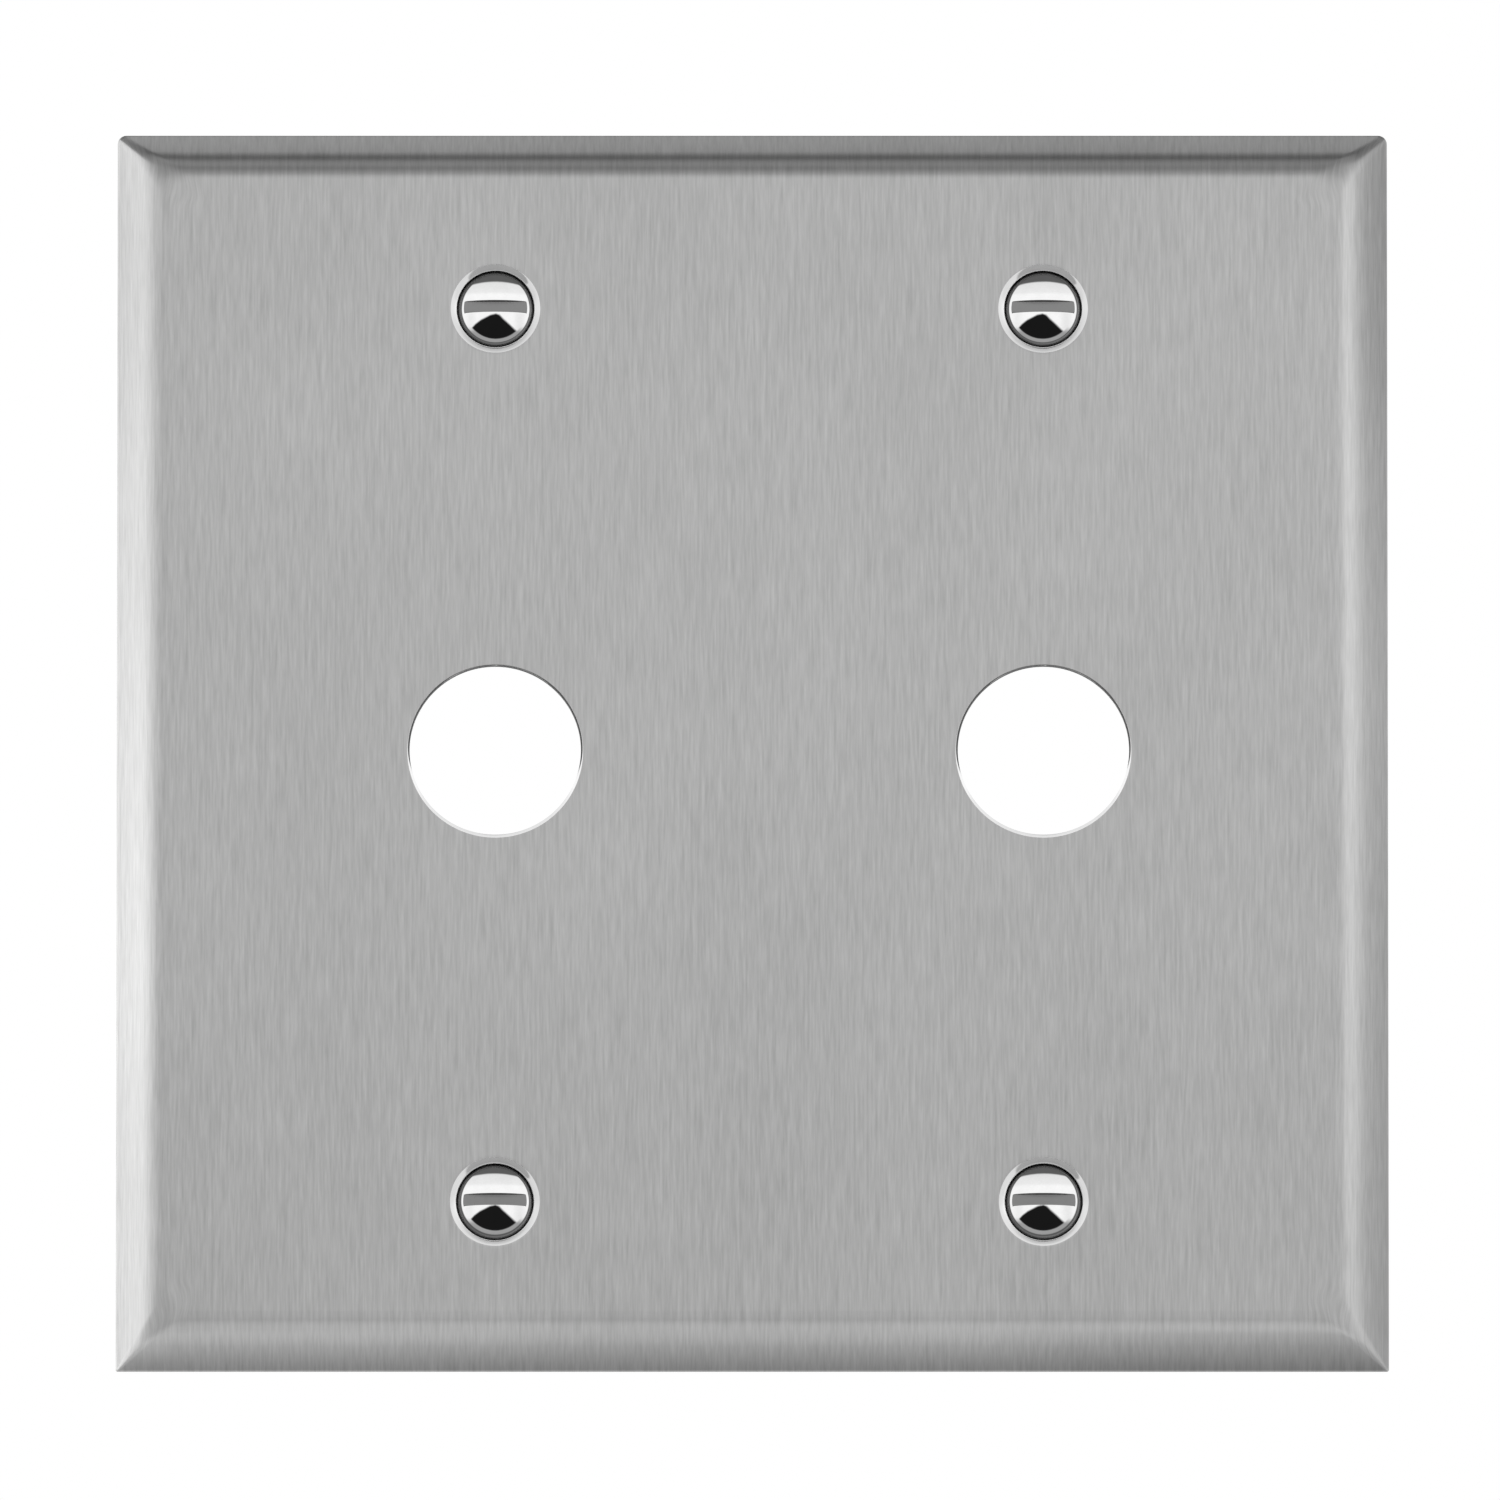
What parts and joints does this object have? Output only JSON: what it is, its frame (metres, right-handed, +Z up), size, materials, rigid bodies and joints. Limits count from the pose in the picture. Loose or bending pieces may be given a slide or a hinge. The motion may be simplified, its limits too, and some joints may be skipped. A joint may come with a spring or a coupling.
{
  "type": "wall plate cover",
  "caption": "Two-gang bevelled stainless wall plate with round cable holes, formed countersinks and captive slotted oval-head box screws.",
  "frame": {"origin": "centre of the plate on the wall surface, in the plane of the plate's back rim", "axes": "+Z up, +X to the right as seen from the room, -Y out of the wall towards the viewer, +Y into the wall"},
  "size_m": [0.1158, 0.02, 0.1142],
  "materials": {
    "plate": "vertical brushed satin",
    "screws": "polished",
    "washers": "natural nylon"
  },
  "bodies": {
    "plate": {"wall_plate": "plate"},
    "washer_top_left": {"washer_top_left": "washers"},
    "screw_top_left": {"screw_top_left": "screws"},
    "washer_top_right": {"washer_top_right": "washers"},
    "screw_top_right": {"screw_top_right": "screws"},
    "washer_bottom_left": {"washer_bottom_left": "washers"},
    "screw_bottom_left": {"screw_bottom_left": "screws"},
    "washer_bottom_right": {"washer_bottom_right": "washers"},
    "screw_bottom_right": {"screw_bottom_right": "screws"}
  },
  "joints": [
    {"name": "screw_top_left_travel", "type": "slide", "parent": "plate", "child": "washer_top_left", "axis": [0, -1, 0], "range_m": [0, 0.00417]},
    {"name": "screw_top_left_turn", "type": "hinge", "parent": "washer_top_left", "child": "screw_top_left", "pos_m": [-0.0234, -0.00489, 0.04025], "axis": [0, -1, 0], "range_deg": [0, 1890]},
    {"name": "screw_top_right_travel", "type": "slide", "parent": "plate", "child": "washer_top_right", "axis": [0, -1, 0], "range_m": [0, 0.00417]},
    {"name": "screw_top_right_turn", "type": "hinge", "parent": "washer_top_right", "child": "screw_top_right", "pos_m": [0.0265, -0.00489, 0.04025], "axis": [0, -1, 0], "range_deg": [0, 1890]},
    {"name": "screw_bottom_left_travel", "type": "slide", "parent": "plate", "child": "washer_bottom_left", "axis": [0, -1, 0], "range_m": [0, 0.00417]},
    {"name": "screw_bottom_left_turn", "type": "hinge", "parent": "washer_bottom_left", "child": "screw_bottom_left", "pos_m": [-0.0234, -0.00489, -0.04225], "axis": [0, -1, 0], "range_deg": [0, 1890]},
    {"name": "screw_bottom_right_travel", "type": "slide", "parent": "plate", "child": "washer_bottom_right", "axis": [0, -1, 0], "range_m": [0, 0.00417]},
    {"name": "screw_bottom_right_turn", "type": "hinge", "parent": "washer_bottom_right", "child": "screw_bottom_right", "pos_m": [0.0265, -0.00489, -0.04225], "axis": [0, -1, 0], "range_deg": [0, 1890]}
  ],
  "couplings": [
    {"joint": "screw_top_left_turn", "follows": "screw_top_left_travel", "rad_per_m": 7915.8},
    {"joint": "screw_top_right_turn", "follows": "screw_top_right_travel", "rad_per_m": 7915.8},
    {"joint": "screw_bottom_left_turn", "follows": "screw_bottom_left_travel", "rad_per_m": 7915.8},
    {"joint": "screw_bottom_right_turn", "follows": "screw_bottom_right_travel", "rad_per_m": 7915.8}
  ]
}
